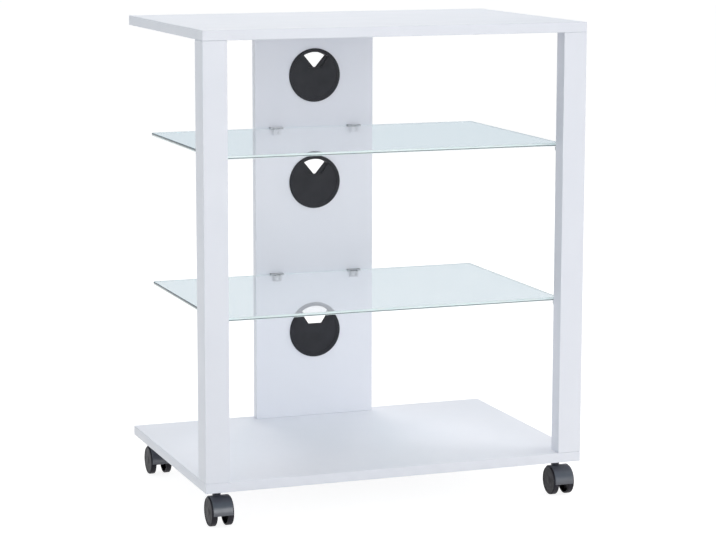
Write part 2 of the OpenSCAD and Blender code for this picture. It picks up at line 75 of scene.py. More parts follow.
# %% Set the camera
camera_data = bpy.data.cameras.new("photo_camera")
camera = bpy.data.objects.new("photo_camera", camera_data)
bpy.context.scene.collection.objects.link(camera)
camera.location = (-1.2610, -3.4179, 0.9375)
camera.rotation_euler = (math.radians(81.160), 0, math.radians(-19.692))
camera_data.lens = 119.35
camera_data.shift_x = 0.0396
camera_data.shift_y = -0.03
bpy.context.scene.camera = camera
bpy.context.scene.view_settings.view_transform = "Standard"
print("camera distance", round(camera.location.length, 2), "m")

# %% [markdown]
# Light that runs along inside a glass shelf is reflected many times before it comes out. With the usual
# number of bounces its paths would end early, and parts of the glass would turn black, so they are allowed
# more.

# %% Allow more bounces
cycles = bpy.context.scene.cycles
cycles.max_bounces = 20
cycles.glossy_bounces = 16
cycles.transmission_bounces = 16
print("bounces", cycles.max_bounces, cycles.glossy_bounces, cycles.transmission_bounces)

# %% [markdown]
# ## Floor and light
# A product picture is taken on a white sweep. A very large floor fills the whole view, so no horizon shows.
# The floor has to look white without lighting the stand more. So a part of its surface is a glow that only
# the camera, gloss and glass can see. The rest is matt paint, on which the stand's soft shadow still falls.

# %% Rays that see the white backdrop
def backdrop_rays(tree):
    """1 for rays that come straight from the camera, or by way of gloss or glass, and 0 for the rest."""
    path = tree.nodes.new("ShaderNodeLightPath")
    camera_or_gloss = tree.nodes.new("ShaderNodeMath")
    camera_or_gloss.operation = "MAXIMUM"
    any_of_them = tree.nodes.new("ShaderNodeMath")
    any_of_them.operation = "MAXIMUM"
    tree.links.new(path.outputs["Is Camera Ray"], camera_or_gloss.inputs[0])
    tree.links.new(path.outputs["Is Glossy Ray"], camera_or_gloss.inputs[1])
    tree.links.new(camera_or_gloss.outputs[0], any_of_them.inputs[0])
    tree.links.new(path.outputs["Is Transmission Ray"], any_of_them.inputs[1])
    return any_of_them.outputs[0]


# %% Paint the floor
glow_strength, glow_share = 1.36, 0.65
floor_paint = bpy.data.materials.new("floor_paint")
floor_paint.use_nodes = True
tree = floor_paint.node_tree
matt = tree.nodes["Principled BSDF"]
matt.inputs["Base Color"].default_value = (0.88, 0.88, 0.88, 1)
matt.inputs["Roughness"].default_value = 0.9
matt.inputs["Specular IOR Level"].default_value = 0.0
glow = tree.nodes.new("ShaderNodeEmission")
glow.inputs["Strength"].default_value = glow_strength
share = tree.nodes.new("ShaderNodeMath")
share.operation = "MULTIPLY"
share.inputs[1].default_value = glow_share
blend = tree.nodes.new("ShaderNodeMixShader")
tree.links.new(backdrop_rays(tree), share.inputs[0])
tree.links.new(share.outputs[0], blend.inputs["Fac"])
tree.links.new(matt.outputs[0], blend.inputs[1])
tree.links.new(glow.outputs[0], blend.inputs[2])
tree.links.new(blend.outputs[0], tree.nodes["Material Output"].inputs["Surface"])
print("floor paint, glow", round(glow_strength * glow_share, 3))

# %% Lay the floor
floor_side = 120
bpy.ops.object.select_all(action="DESELECT")
bpy.ops.mesh.primitive_plane_add(size=floor_side, location=(0, 0, 0))
floor = bpy.context.object
floor.name = "floor"
floor.data.materials.append(floor_paint)
floor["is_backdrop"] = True
print("floor", [round(v) for v in floor.dimensions])

# %% [markdown]
# The room gives a dim even light from all sides. The camera and glass see it as plain white. Gloss sees it
# turn grey-blue with height, as a room does above its white sweep, because a white room would be mirrored
# so strongly in the glass shelves that it washed them out.

# %% Light the room
world = bpy.data.worlds.new("white_room")
bpy.context.scene.world = world
world.use_nodes = True
tree = world.node_tree
room = tree.nodes["Background"]
room.inputs["Color"].default_value = (0.96, 0.995, 1.03, 1)
room.inputs["Strength"].default_value = 0.43
print(world.name, round(room.inputs["Strength"].default_value, 2))

# %% Colour the haze by height
haze_by_height = [
    (0.00, (1, 1, 1, 1)),
    (0.02, (1, 1, 1, 1)),
    (0.10, (0.60, 0.70, 0.765, 1)),
    (0.18, (0.40, 0.52, 0.60, 1)),
]
direction = tree.nodes.new("ShaderNodeTexCoord").outputs["Generated"]
up = tree.nodes.new("ShaderNodeSeparateXYZ")
sky = tree.nodes.new("ShaderNodeValToRGB")
haze = tree.nodes.new("ShaderNodeBackground")
stops = sky.color_ramp.elements
for i, (height, colour) in enumerate(haze_by_height):
    stop = stops[i] if i < len(stops) else stops.new(height)
    stop.position, stop.color = height, colour
tree.links.new(direction, up.inputs[0])
tree.links.new(up.outputs["Z"], sky.inputs["Fac"])
tree.links.new(sky.outputs[0], haze.inputs["Color"])
print("haze", len(stops), "stops")

# %% Show white to the camera and glass, haze to gloss and the room to all else
white = tree.nodes.new("ShaderNodeBackground")
white.inputs["Color"].default_value = (1, 1, 1, 1)
is_gloss = tree.nodes.new("ShaderNodeLightPath").outputs["Is Glossy Ray"]
backdrop = tree.nodes.new("ShaderNodeMixShader")
tree.links.new(is_gloss, backdrop.inputs["Fac"])
tree.links.new(white.outputs[0], backdrop.inputs[1])
tree.links.new(haze.outputs[0], backdrop.inputs[2])
whole = tree.nodes.new("ShaderNodeMixShader")
tree.links.new(backdrop_rays(tree), whole.inputs["Fac"])
tree.links.new(room.outputs[0], whole.inputs[1])
tree.links.new(backdrop.outputs[0], whole.inputs[2])
tree.links.new(whole.outputs[0], tree.nodes["World Output"].inputs["Surface"])
print("room", len(tree.nodes), "nodes")

# %% [markdown]
# Four soft boxes do the rest: in front, at the left, at the right and high behind. The right one is the
# strongest, so the left faces come out darker than the fronts and the board tops, as in the picture. They
# are large, because small lamps would draw hard shadows, and hidden from the camera.

# %% Place the lamps
aim_height = 0.35


def soft_lamp(name, place, power, colour=(1, 1, 1), side=2.0):
    """A square soft box at place, turned towards the stand and hidden from the camera."""
    data = bpy.data.lights.new(name, "AREA")
    data.size = side
    data.energy = power
    data.color = colour
    lamp = bpy.data.objects.new(name, data)
    bpy.context.scene.collection.objects.link(lamp)
    lamp.location = place
    towards_stand = Vector((0, 0, aim_height)) - Vector(place)
    lamp.rotation_euler = towards_stand.to_track_quat("-Z", "Y").to_euler()
    lamp.visible_camera = False
    print(name, power, "W")


soft_lamp("front_lamp", (0.6, -3.8, 0.9), power=43)
soft_lamp("left_lamp", (-3.2, -0.6, 2.0), power=21, colour=(0.90, 1, 1), side=3.2)
soft_lamp("right_lamp", (3.2, -0.3, 2.0), power=67, colour=(1, 0.98, 0.93), side=3.2)
soft_lamp("high_lamp", (0.4, 2.2, 3.0), power=55, colour=(1, 0.91, 0.85))

# %% [markdown]
# ## Finishes
# A material is a small network of nodes. Every pattern here reads Object coordinates, which are metres on
# the piece itself, so a grain of a given scale has its real size on every piece. An image would give a
# pattern too, but it would have to be unwrapped onto each piece, and noise from nodes needs none of that.

# %% Start a finish
def set_shader(finish, socket, value):
    """Sets one number or colour of the finish's main shader."""
    finish.node_tree.nodes["Principled BSDF"].inputs[socket].default_value = value


def new_finish(name, colour, roughness, metallic=0.0):
    """A material with an even colour and gloss, ready for patterns."""
    finish = bpy.data.materials.new(name)
    finish.use_nodes = True
    set_shader(finish, "Base Color", (*colour, 1))
    set_shader(finish, "Roughness", roughness)
    set_shader(finish, "Metallic", metallic)
    print("finish", name)
    return finish


# %% Draw a pattern
def noise(finish, scale, detail=2.0, squeeze=(1, 1, 1)):
    """A cloudy pattern. scale counts the clouds in a metre, and squeeze packs them closer along an axis."""
    tree = finish.node_tree
    where = tree.nodes.new("ShaderNodeTexCoord").outputs["Object"]
    mapping = tree.nodes.new("ShaderNodeMapping")
    mapping.inputs["Scale"].default_value = squeeze
    cloud = tree.nodes.new("ShaderNodeTexNoise")
    cloud.inputs["Scale"].default_value = scale
    cloud.inputs["Detail"].default_value = detail
    tree.links.new(where, mapping.inputs["Vector"])
    tree.links.new(mapping.outputs[0], cloud.inputs["Vector"])
    return cloud.outputs["Fac"]


# %% Let a pattern vary the gloss, the colour or the height
noise_dark, noise_light = 0.3, 0.7


def feed(finish, output, socket):
    """Lets an output of a node drive one socket of the finish's main shader."""
    shader = finish.node_tree.nodes["Principled BSDF"]
    finish.node_tree.links.new(output, shader.inputs[socket])


def vary_roughness(finish, pattern, low, high):
    """Lets the gloss drift between two values over the surface."""
    span = finish.node_tree.nodes.new("ShaderNodeMapRange")
    span.inputs["From Min"].default_value = noise_dark
    span.inputs["From Max"].default_value = noise_light
    span.inputs["To Min"].default_value = low
    span.inputs["To Max"].default_value = high
    finish.node_tree.links.new(pattern, span.inputs["Value"])
    feed(finish, span.outputs[0], "Roughness")


def vary_colour(finish, pattern, dark, light):
    """Lets the colour drift between two shades over the surface."""
    ramp = finish.node_tree.nodes.new("ShaderNodeValToRGB")
    ramp.color_ramp.elements[0].position = noise_dark
    ramp.color_ramp.elements[0].color = (*dark, 1)
    ramp.color_ramp.elements[1].position = noise_light
    ramp.color_ramp.elements[1].color = (*light, 1)
    finish.node_tree.links.new(pattern, ramp.inputs["Fac"])
    feed(finish, ramp.outputs[0], "Base Color")


def add_bump(finish, pattern, strength, depth):
    """Raises the pattern's light parts by up to depth."""
    bump = finish.node_tree.nodes.new("ShaderNodeBump")
    bump.inputs["Strength"].default_value = strength
    bump.inputs["Distance"].default_value = depth
    finish.node_tree.links.new(pattern, bump.inputs["Height"])
    feed(finish, bump.outputs[0], "Normal")


# %% [markdown]
# The boards are chipboard under a satin white coat. One flat white would look like paper, because a real
# coat is never quite even. It has a faint ripple like orange peel, a shade that drifts by about one part in
# a hundred, and a gloss that drifts a little too, so each gets a pattern of its own size.

# %% White coat
white_coat = new_finish("white_coat", (0.77, 0.79, 0.85), 0.38)
vary_colour(white_coat, noise(white_coat, 5, 3), (0.765, 0.785, 0.85), (0.785, 0.80, 0.86))
vary_roughness(white_coat, noise(white_coat, 22), 0.34, 0.42)
add_bump(white_coat, noise(white_coat, 650), strength=0.06, depth=0.1 * mm)

# %% [markdown]
# The shelves are float glass. It looks clear through its thickness, and blue-green where the eye looks
# along the sheet from its edge. A surface colour can't do both, but a volume that takes a little red out of
# long paths gives both at once.

# %% Clear glass
glass_ior, tint_colour, tint_density = 1.52, (0.50, 0.93, 0.95, 1), 1.2


def add_tint(finish):
    """Fills the finish with the glass's own tint, which shows only on long paths."""
    tint = finish.node_tree.nodes.new("ShaderNodeVolumeAbsorption")
    tint.inputs["Color"].default_value = tint_colour
    tint.inputs["Density"].default_value = tint_density
    ends_at = finish.node_tree.nodes["Material Output"].inputs["Volume"]
    finish.node_tree.links.new(tint.outputs[0], ends_at)


clear_glass = new_finish("clear_glass", (0.97, 0.985, 0.99), 0.0)
set_shader(clear_glass, "IOR", glass_ior)
set_shader(clear_glass, "Transmission Weight", 1.0)
add_tint(clear_glass)

# %% [markdown]
# The light that is trapped in the sheet comes out at its ground rims. Here that light is painted: the front
# and back rims are painted a pale blue-green, with faint streaks along them and one line of painted shade,
# and still let some light through. The side rims are painted dark as shade, because the eye looks along the
# whole length of the sheet there. A glowing rim would light the stand, so these are ordinary surfaces, one
# painted light and one painted shade, that pass a small part of the light.

# %% Ground rims of the glass, with painted light and painted shade
def rim_finish(name, colour, dark, light, clear, smoothest, roughest):
    """Ground glass with a streaky colour of painted light and shade, part of it clear, with the same tint
    inside as the sheet.
    """
    rim = new_finish(name, colour, smoothest)
    set_shader(rim, "IOR", glass_ior)
    set_shader(rim, "Transmission Weight", clear)
    vary_colour(rim, noise(rim, 60, 3, squeeze=(1, 1, 6)), dark, light)
    vary_roughness(rim, noise(rim, 300), smoothest, roughest)
    add_tint(rim)
    return rim


# The pale rim is painted light, the light trapped in the sheet coming out at the rim. The dark rim is painted
# shade.
painted_light_rim = rim_finish("painted_light_rim", (0.87, 0.985, 0.99), dark=(0.82, 0.97, 0.98), light=(0.91, 0.99, 0.995),
                        clear=0.08, smoothest=0.05, roughest=0.10)
painted_shade_rim = rim_finish("painted_shade_rim", (0.08, 0.10, 0.11), dark=(0.06, 0.08, 0.09), light=(0.11, 0.135, 0.145),
                      clear=0.10, smoothest=0.10, roughest=0.20)

# %% [markdown]
# Black plastic comes out of a mould whose surface was spark eroded, which leaves a fine even grain that
# softens the gloss. The grain is too fine to model, so a bump of noise stands for it. The caster hoods are
# a blue-grey black with more shine. The wheels run on the floor, so they are a little rougher and carry
# some pale dust.

# %% Black plastics
black_plastic = new_finish("black_plastic", (0.015, 0.016, 0.021), 0.45)
set_shader(black_plastic, "Specular IOR Level", 0.24)
vary_colour(black_plastic, noise(black_plastic, 60, 3), (0.013, 0.0135, 0.018), (0.018, 0.019, 0.025))
vary_roughness(black_plastic, noise(black_plastic, 90), 0.41, 0.50)
add_bump(black_plastic, noise(black_plastic, 2600), strength=0.12, depth=0.05 * mm)

hood_plastic = new_finish("hood_plastic", (0.056, 0.061, 0.080), 0.32)
set_shader(hood_plastic, "Specular IOR Level", 0.9)
vary_colour(hood_plastic, noise(hood_plastic, 80, 3), (0.051, 0.056, 0.073), (0.063, 0.069, 0.090))
vary_roughness(hood_plastic, noise(hood_plastic, 110), 0.28, 0.37)
add_bump(hood_plastic, noise(hood_plastic, 2400), strength=0.10, depth=0.05 * mm)

wheel_plastic = new_finish("wheel_plastic", (0.012, 0.011, 0.016), 0.45)
set_shader(wheel_plastic, "Specular IOR Level", 0.2)
vary_colour(wheel_plastic, noise(wheel_plastic, 110, 4), (0.010, 0.009, 0.013), (0.018, 0.016, 0.023))
vary_roughness(wheel_plastic, noise(wheel_plastic, 140, 3), 0.40, 0.56)
add_bump(wheel_plastic, noise(wheel_plastic, 1900), strength=0.15, depth=0.06 * mm)

# %% [markdown]
# The metals differ in how they were made. The clips are satin nickel, rubbed one way. The screws, pins,
# bolts, washers, axles and stems are zinc plated, with a cloudy gloss. The cam discs are cast, so they are
# dull and slightly rough. One metal shader does for all three. Its colour and the patterns in its gloss and
# bump make the difference.

# %% Metals
satin_nickel = new_finish("satin_nickel", (0.30, 0.31, 0.33), 0.30, metallic=1.0)
vary_roughness(satin_nickel, noise(satin_nickel, 300, squeeze=(1, 6, 6)), 0.24, 0.38)
add_bump(satin_nickel, noise(satin_nickel, 900, squeeze=(1, 8, 8)), strength=0.10, depth=0.03 * mm)

zinc_plate = new_finish("zinc_plate", (0.60, 0.61, 0.63), 0.35, metallic=1.0)
vary_colour(zinc_plate, noise(zinc_plate, 180, 3), (0.52, 0.53, 0.56), (0.66, 0.67, 0.68))
vary_roughness(zinc_plate, noise(zinc_plate, 260), 0.28, 0.44)

cast_zinc = new_finish("cast_zinc", (0.38, 0.39, 0.41), 0.55, metallic=1.0)
vary_roughness(cast_zinc, noise(cast_zinc, 400, 3), 0.48, 0.65)
add_bump(cast_zinc, noise(cast_zinc, 1200, 3), strength=0.25, depth=0.08 * mm)

# %% [markdown]
# Three more finishes are needed for small pieces: soft grey pads, the clear sleeves on the shelf pins and
# the beech of the dowels. All dowels stand upright, and the grain runs along them, because its noise is
# packed close across them and drawn out along them.

# %% Pads, sleeves and dowels
soft_pad = new_finish("soft_pad", (0.045, 0.047, 0.050), 0.75)
vary_colour(soft_pad, noise(soft_pad, 500), (0.035, 0.036, 0.04), (0.055, 0.057, 0.06))
add_bump(soft_pad, noise(soft_pad, 2500), strength=0.2, depth=0.05 * mm)

clear_sleeve = new_finish("clear_sleeve", (0.85, 0.88, 0.90), 0.25)
set_shader(clear_sleeve, "Transmission Weight", 0.75)
vary_roughness(clear_sleeve, noise(clear_sleeve, 500), 0.2, 0.32)

beech = new_finish("beech", (0.60, 0.42, 0.26), 0.6)
grain = noise(beech, 240, 4, squeeze=(6, 6, 0.4))
vary_colour(beech, grain, (0.50, 0.33, 0.19), (0.68, 0.50, 0.32))
add_bump(beech, grain, strength=0.3, depth=0.1 * mm)

# %% [markdown]
# ## Boards
# A board is a plain slab, but its edges are never razor sharp. The coat rounds them by a little under a
# millimetre, and that thin round is what catches the light. It could be modelled by hand on every edge.
# Here each board is a block at its true size, and a Bevel modifier rounds every sharp edge at once. A
# Weighted Normal modifier keeps the large faces flat in the light.

# %% Helpers for blocks
def start_clean():
    """Back to object mode, with nothing selected."""
    if bpy.context.object and bpy.context.object.mode != "OBJECT":
        bpy.ops.object.mode_set(mode="OBJECT")
    bpy.ops.object.select_all(action="DESELECT")


def work_on(piece):
    """Makes piece the one selected and active object."""
    start_clean()
    piece.select_set(True)
    bpy.context.view_layer.objects.active = piece


def block(name, low, high):
    """A box from its lowest to its highest corner, with its place in its mesh."""
    start_clean()
    low, high = Vector(low), Vector(high)
    bpy.ops.mesh.primitive_cube_add(size=1, location=(low + high) / 2, scale=high - low)
    piece = bpy.context.object
    piece.name = name
    bpy.ops.object.transform_apply(location=True, rotation=True, scale=True)
    return piece


# %% Helpers for soft edges and the finish
def soften(piece, width, segments=2, sharper_than=35, smooth_below=50):
    """Rounds the edges that are sharper than an angle, and smooths the shading across gentle ones."""
    work_on(piece)
    bpy.ops.object.modifier_add(type="BEVEL")
    edge = piece.modifiers[-1]
    edge.width = width
    edge.segments = segments
    edge.limit_method = "ANGLE"
    edge.angle_limit = math.radians(sharper_than)
    edge.use_clamp_overlap = True
    bpy.ops.object.modifier_apply(modifier=edge.name)
    bpy.ops.object.shade_smooth_by_angle(angle=math.radians(smooth_below))
    bpy.ops.object.modifier_add(type="WEIGHTED_NORMAL")
    flat = piece.modifiers[-1]
    flat.keep_sharp = True
    bpy.ops.object.modifier_apply(modifier=flat.name)


def dress(piece, finish, body, node):
    """Gives a finished piece its material, and ties it to the model in place of a node."""
    piece.data.materials.clear()
    piece.data.materials.append(finish)
    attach(piece, body)
    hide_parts(node)
    print(piece.name, len(piece.data.polygons), "faces")


# %% Model the two boards
coat_round = 0.8 * mm
for node in ["top_board", "bottom_board"]:
    board = block(node + "_coated", *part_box(node))
    soften(board, coat_round)
    dress(board, white_coat, "carcass", node)

# %% [markdown]
# ## Front posts
# A post is a square bar with a rebate along its inner back corner, where the glass sits. The rebate could
# be cut out of a block, but a cross section with six corners says it all. It is drawn as an outline and
# extruded to the post's height, and the right post's outline is the mirror image of the left one's.

# %% Helpers for outlines
def edit_all(piece):
    """Opens a piece in edit mode, with everything in it selected."""
    work_on(piece)
    bpy.ops.object.mode_set(mode="EDIT")
    bpy.ops.mesh.select_all(action="SELECT")


def draw_outline(name, points, filled=True):
    """A chain of edges through the points, drawn by extruding one corner after the other."""
    start_clean()
    points = [Vector(p) for p in points]
    bpy.ops.mesh.primitive_plane_add(size=mm, location=points[0])
    piece = bpy.context.object
    piece.name = name
    bpy.ops.object.transform_apply(location=True, rotation=True, scale=True)
    bpy.ops.object.mode_set(mode="EDIT")
    bpy.ops.mesh.select_mode(type="VERT")
    bpy.ops.mesh.select_all(action="SELECT")
    bpy.ops.mesh.merge(type="CENTER")
    for here, there in zip(points, points[1:]):
        bpy.ops.mesh.extrude_region_move(TRANSFORM_OT_translate={"value": there - here})
    bpy.ops.mesh.select_all(action="SELECT")
    if filled:
        bpy.ops.mesh.edge_face_add()
    bpy.ops.object.mode_set(mode="OBJECT")
    return piece


def extrude_outline(piece, step):
    """Pulls a filled outline into a solid, with its faces turned outwards."""
    edit_all(piece)
    bpy.ops.mesh.extrude_region_move(TRANSFORM_OT_translate={"value": step})
    bpy.ops.mesh.select_all(action="SELECT")
    bpy.ops.mesh.normals_make_consistent(inside=False)
    bpy.ops.object.mode_set(mode="OBJECT")
    return piece


# %% Model the two posts
rebate_wide, rebate_deep = 11 * mm, 12 * mm
for node in ["post_left", "post_right"]:
    low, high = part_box(node)
    outer, inner = (low.x, high.x) if node == "post_left" else (high.x, low.x)
    step_x = inner - math.copysign(rebate_wide, inner - outer)
    step_y = high.y - rebate_deep
    section = [(outer, low.y), (inner, low.y), (inner, step_y),
               (step_x, step_y), (step_x, high.y), (outer, high.y)]
    post = draw_outline(node + "_coated", [(x, y, low.z) for x, y in section])
    extrude_outline(post, (0, 0, high.z - low.z))
    soften(post, coat_round)
    dress(post, white_coat, "carcass", node)

# %% [markdown]
# ## Rear panel
# The panel is a board with three round holes for cables. Holes are easiest as cylinders taken out of the
# block with a Boolean modifier, because the rims stay perfectly round. The cutters are thrown away
# afterwards. The edges of the panel are rounded half as much as those of the boards.

# %% Helpers for cuts and joins
def rod(name, centre, radius, length, along="y", sides=96):
    """A cylinder whose middle is at centre and whose axis runs along x, y or z."""
    start_clean()
    quarter = math.pi / 2
    turn = {"x": (0, quarter, 0), "y": (quarter, 0, 0), "z": (0, 0, 0)}[along]
    bpy.ops.mesh.primitive_cylinder_add(vertices=sides, radius=radius, depth=length,
                                        location=centre, rotation=turn)
    piece = bpy.context.object
    piece.name = name
    bpy.ops.object.transform_apply(location=True, rotation=True, scale=True)
    return piece


def combine(piece, tool, how):
    """Cuts tool out of piece, or joins it on, and then deletes tool. how is DIFFERENCE or UNION."""
    work_on(piece)
    bpy.ops.object.modifier_add(type="BOOLEAN")
    step = piece.modifiers[-1]
    step.operation = how
    step.solver = "EXACT"
    step.object = tool
    bpy.ops.object.modifier_apply(modifier=step.name)
    bpy.data.objects.remove(tool)


def box_centre(node):
    """The middle of a node's box."""
    low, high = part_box(node)
    return (low + high) / 2


# %% Model the panel
levels = ["top", "middle", "bottom"]
port_centres = {place: box_centre("port_liner_" + place) for place in levels}
hole_radius, panel_round = 40 * mm, 0.4 * mm
right_through = 40 * mm  # longer than anything that is drilled

panel_low, panel_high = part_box("rear_panel")
panel = block("rear_panel_coated", panel_low, panel_high)
for centre in port_centres.values():
    drill_at = (centre.x, (panel_low.y + panel_high.y) / 2, centre.z)
    combine(panel, rod("hole", drill_at, hole_radius, right_through), "DIFFERENCE")
soften(panel, panel_round)
dress(panel, white_coat, "carcass", "rear_panel")

# %% [markdown]
# ## Glass shelves
# A glass shelf is cut, its corners are rounded, and its rims are ground with a small chamfer that keeps
# them from chipping. A drawn outline would need many points for the round corners. So the four upright
# edges of a block are picked out by their direction and rounded in edit mode, and the chamfer is one step
# of Bevel all the way round.

# %% Helper that picks out the upright edges
def edit_upright_edges(piece):
    """Opens a piece in edit mode, with only its upright edges selected."""
    work_on(piece)
    bpy.context.tool_settings.mesh_select_mode = (False, True, False)
    mesh = piece.data
    for part in (mesh.vertices, mesh.edges, mesh.polygons):
        part.foreach_set("select", [False] * len(part))
    for edge in mesh.edges:
        one_end, other_end = (mesh.vertices[i].co for i in edge.vertices)
        edge.select = abs(one_end.z - other_end.z) > 1 * mm
    bpy.ops.object.mode_set(mode="EDIT")


# %% [markdown]
# A cut along all four rims parts their upper and lower bands, and each band gets its own finish: painted
# shade above at the sides, painted shade below in front and behind, and painted light elsewhere. The shelves
# cast no shadow, because thin clear glass hardly does, and a path tracer would draw a dark one.

# %% Helper for the rims
level_face, lower_chamfer = 0.9, -0.4  # upright parts of the normals of such faces
# material slots for the rims' painted light and painted shade
painted_light_slot, painted_shade_slot = 1, 2


def finish_rims(shelf, line):
    """Cuts round the rims at the height of line, and gives the bands above and below it painted light and
    painted shade.
    """
    edit_all(shelf)
    bpy.ops.mesh.bisect(plane_co=(0, 0, line), plane_no=(0, 0, 1))
    bpy.ops.object.mode_set(mode="OBJECT")
    shelf.data.materials.append(painted_light_rim)
    shelf.data.materials.append(painted_shade_rim)
    for face in shelf.data.polygons:
        x, y, z = face.normal
        if abs(z) < level_face:
            above, at_side = face.center.z > line, abs(x) > abs(y)
            # painted shade: the upper band at the sides, and the upright part of the lower band in front and
            # behind
            dark = above if at_side else (not above and z > lower_chamfer)
            face.material_index = painted_shade_slot if dark else painted_light_slot


# %% Model the two shelves
corner_round, rim_chamfer, band_height = 4 * mm, 0.9 * mm, 2.0 * mm
for node in ["glass_shelf_upper", "glass_shelf_lower"]:
    low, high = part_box(node)
    shelf = block(node + "_polished", low, high)
    edit_upright_edges(shelf)
    bpy.ops.mesh.bevel(offset=corner_round, segments=8, affect="EDGES")
    bpy.ops.object.mode_set(mode="OBJECT")
    soften(shelf, rim_chamfer, segments=1, smooth_below=30)
    dress(shelf, clear_glass, "carcass", node)
    finish_rims(shelf, low.z + band_height)
    shelf.visible_shadow = False

# %% [markdown]
# ## Shelf clips
# A clip grips the back edge of the glass. It is a metal jaw with a wide flat bar over the glass, a thin
# plate behind it and a block below, with a sunk hole for the screw. Its side view could be drawn and
# extruded, but the bar is wider than the rest, so three blocks are joined and then drilled.

# %% Model one clip
def make_clip(name, low, high):
    """A clip that fills the box from low to high."""
    half_jaw, jaw_height = 6.25 * mm, 9 * mm
    plate_thick, plate_foot = 2.2 * mm, 1 * mm
    bar_deep, bar_thick = 7.5 * mm, 1.4 * mm
    screw_height, bore_radius = 4.5 * mm, 1.55 * mm
    sink_radius, sink_length = 2.9 * mm, 13.6 * mm

    middle = (low.x + high.x) / 2
    left, right = middle - half_jaw, middle + half_jaw
    clip = block(name, (left, low.y, low.z), (right, high.y, low.z + jaw_height))
    plate = block("plate", (left, high.y - plate_thick, low.z + plate_foot), (right, high.y, high.z))
    bar = block("bar", (low.x, high.y - bar_deep, high.z - bar_thick), high)
    combine(clip, plate, "UNION")
    combine(clip, bar, "UNION")
    screw_z = low.z + screw_height
    bore = rod("hole", (middle, high.y, screw_z), bore_radius, right_through, sides=32)
    combine(clip, bore, "DIFFERENCE")
    sink = rod("sink", (middle, low.y, screw_z), sink_radius, sink_length, sides=48)
    combine(clip, sink, "DIFFERENCE")
    soften(clip, width=0.3 * mm)
    return clip


first_clip = "clip_lower_left"
clip_low, clip_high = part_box(first_clip)
clip = make_clip(first_clip + "_metal", clip_low, clip_high)
print("clip", len(clip.data.polygons), "faces")

# %% Copy the clip to its four places
def copy_to(piece, name, step):
    """A copy with its own mesh, moved by step."""
    work_on(piece)
    bpy.ops.object.duplicate(linked=False)
    twin = bpy.context.object
    twin.name = name
    twin.location = step
    bpy.ops.object.transform_apply(location=True, rotation=True, scale=True)
    return twin


for node in ["clip_lower_right", "clip_upper_left", "clip_upper_right"]:
    twin = copy_to(clip, node + "_metal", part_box(node)[0] - clip_low)
    dress(twin, satin_nickel, "carcass", node)
dress(clip, satin_nickel, "carcass", first_clip)

# %% [markdown]
# ## Cable ports
# A port is three round plastic pieces. The liner lines the hole and covers its rim with a flange. The cap
# closes it except for a window at the top, and the shutter behind it turns to open the window more or less.
# A ring can be built from cylinders and cuts, but its grooves and slanted edges are easier to draw. So half
# a section is drawn and spun round its axis, as on a lathe.

# %% Helpers for turned pieces
weld = 0.01 * mm


def spin_solid(piece, steps, angle, centre, axis):
    """Spins a piece's outline round an axis, merges the seam, and turns the faces outwards."""
    edit_all(piece)
    bpy.ops.mesh.spin(steps=steps, angle=angle, center=centre, axis=axis)
    bpy.ops.mesh.select_all(action="SELECT")
    bpy.ops.mesh.remove_doubles(threshold=weld)
    bpy.ops.mesh.delete_loose()
    bpy.ops.mesh.select_all(action="SELECT")
    bpy.ops.mesh.normals_make_consistent(inside=False)
    bpy.ops.object.mode_set(mode="OBJECT")


def turned(name, section, centre, axis=(0, 1, 0), steps=96):
    """Spins a closed section of (radius, distance along the axis), in millimetres, round its axis."""
    points = [centre + Vector((0, 0, r * mm)) + Vector(axis) * (d * mm) for r, d in section]
    piece = draw_outline(name, points + points[:1], filled=False)
    edit_all(piece)
    bpy.ops.mesh.remove_doubles(threshold=weld)
    spin_solid(piece, steps, 2 * math.pi, centre, axis)
    return piece


# %% Helper that repeats a piece at every port
port_spot = Vector((port_centres["top"].x, panel_low.y, port_centres["top"].z))


def repeat_at_ports(piece, kind):
    """Copies a piece of the top port to the other two ports, and dresses all three."""
    for place in levels[1:]:
        drop = (0, 0, port_centres[place].z - port_spot.z)
        twin = copy_to(piece, kind + place + "_moulded", drop)
        dress(twin, black_plastic, "carcass", kind + place)
    dress(piece, black_plastic, "carcass", kind + "top")


# %% Turn the liners
liner_section = [
    (37, -2.2), (42.2, -2.2), (43, -1.4), (43, 0),             # the flange in front of the panel
    (39.95, 0), (39.95, 14), (37, 14),                         # the wall inside the hole
    (37, -0.25), (37.95, -0.25), (37.95, -1.35), (37, -1.35),  # the groove for the cap's bead
]
liner = turned("port_liner_top_moulded", liner_section, port_spot)
soften(liner, width=0.25 * mm)
repeat_at_ports(liner, "port_liner_")

# %% [markdown]
# The cap is a disc with a bead round its rim that snaps into the liner, a stud for the shutter and a small
# stop pin on its back. Its window is a wedge with a flat foot, cut through to the rim. The pin stands off
# the axis and the window is no ring, so the cap is joined from cylinders instead of spun.

# %% Make the caps
def make_cap(name, at):
    """A cap for the port whose middle is the point at, on the front face of the panel."""
    disc_at = at + Vector((0, -0.8 * mm, 0))
    stud_at = at + Vector((0, 1.65 * mm, 0))
    stop_at = at + Vector((0, 0.95 * mm, -9 * mm))
    cap = rod(name, disc_at, radius=36.9 * mm, length=2 * mm, sides=128)
    combine(cap, rod("bead", disc_at, radius=37.85 * mm, length=1 * mm, sides=128), "UNION")
    combine(cap, rod("stud", stud_at, radius=3 * mm, length=3.9 * mm, sides=48), "UNION")
    combine(cap, rod("stop", stop_at, radius=1.4 * mm, length=2.3 * mm, sides=32), "UNION")

    foot, head, half_foot, slant = 12.4 * mm, 39 * mm, 11.2 * mm, math.radians(33)
    cut_from, cut_depth = -3 * mm, 4.5 * mm
    half_head = half_foot + (head - foot) * math.tan(slant)
    wedge = [(-half_foot, foot), (half_foot, foot), (half_head, head), (-half_head, head)]
    window = draw_outline("window", [at + Vector((x, cut_from, z)) for x, z in wedge])
    combine(cap, extrude_outline(window, (0, cut_depth, 0)), "DIFFERENCE")
    soften(cap, width=0.3 * mm)
    return cap


repeat_at_ports(make_cap("port_cap_top_moulded", port_spot), "port_cap_")

